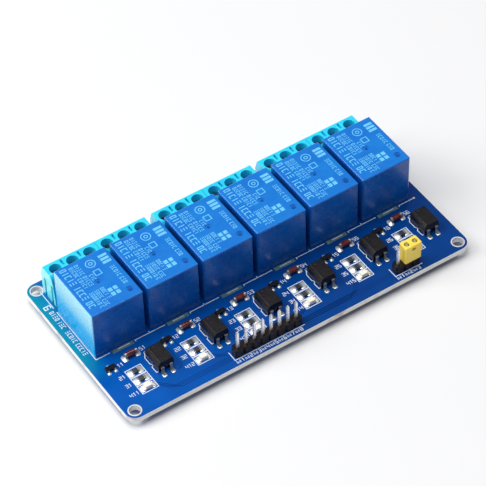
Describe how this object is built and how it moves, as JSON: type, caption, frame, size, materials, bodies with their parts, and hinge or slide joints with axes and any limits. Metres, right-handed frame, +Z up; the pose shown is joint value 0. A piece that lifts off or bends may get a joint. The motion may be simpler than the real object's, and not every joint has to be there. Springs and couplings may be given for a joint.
{
  "type": "relay module board",
  "caption": "Blue circuit board with a row of cube relays, screw terminals behind them, and driver parts, pin headers and a jumper along the front edge.",
  "frame": {"origin": "centre of the four mounting holes, on the underside of the bare board", "axes": "+X along the row of relays, +Y from the pin headers towards the wire entries of the screw terminals, +Z up out of the component side"},
  "size_m": [0.1046, 0.053, 0.0189],
  "materials": {
    "board": "glass-fibre laminate with a glossy blue solder mask",
    "relay_case": "smooth blue moulded thermoplastic",
    "relay_base": "dark blue plate sealed with resin",
    "terminal_housing": "light blue moulded polyamide",
    "tinned_pin": "tinned metal",
    "tinned_lead": "tinned copper",
    "solder": "reflowed solder, slightly uneven",
    "screw": "zinc-plated steel",
    "coil_winding": "enamelled copper wire on a bobbin",
    "iron": "nickel-plated iron",
    "contact_spring": "copper alloy strip",
    "coupler_body": "near-black epoxy moulding",
    "transistor_body": "black epoxy moulding",
    "diode_glass": "amber-red glass tube",
    "resistor_film": "black film on white ceramic",
    "led_carrier": "white laminate with tinned ends",
    "led_lens": "milky cream resin",
    "header_strip": "black moulded strip",
    "header_pin": "bright plated square wire",
    "jumper_cap": "yellow moulded cap"
  },
  "bodies": {
    "root": {"circuit_board": "board", "relay_case_1": "relay_case", "relay_case_2": "relay_case", "relay_case_3": "relay_case", "relay_case_4": "relay_case", "relay_case_5": "relay_case", "relay_case_6": "relay_case", "relay_base_1": "relay_base", "relay_base_2": "relay_base", "relay_base_3": "relay_base", "relay_base_4": "relay_base", "relay_base_5": "relay_base", "relay_base_6": "relay_base", "relay_pins_1": "tinned_pin", "relay_pins_2": "tinned_pin", "relay_pins_3": "tinned_pin", "relay_pins_4": "tinned_pin", "relay_pins_5": "tinned_pin", "relay_pins_6": "tinned_pin", "relay_coils": "coil_winding", "relay_yokes": "iron", "relay_armatures": "contact_spring", "terminal_housing_1": "terminal_housing", "terminal_housing_2": "terminal_housing", "terminal_housing_3": "terminal_housing", "terminal_housing_4": "terminal_housing", "terminal_housing_5": "terminal_housing", "terminal_housing_6": "terminal_housing", "terminal_clamps": "tinned_pin", "terminal_screws": "screw", "optocoupler_1": "coupler_body", "optocoupler_2": "coupler_body", "optocoupler_3": "coupler_body", "optocoupler_4": "coupler_body", "optocoupler_5": "coupler_body", "optocoupler_6": "coupler_body", "optocoupler_leads": "tinned_lead", "transistors": "transistor_body", "transistor_leads": "tinned_lead", "diode_glasses": "diode_glass", "diode_caps": "tinned_lead", "resistors": "resistor_film", "resistor_ends": "solder", "led_bases": "led_carrier", "led_lenses": "led_lens", "input_header_strip": "header_strip", "input_header_pins": "header_pin", "jumper_header_strip": "header_strip", "jumper_header_pins": "header_pin", "jumper_cap": "jumper_cap", "jumper_spring": "contact_spring", "solder_joints": "solder"}
  },
  "joints": []
}
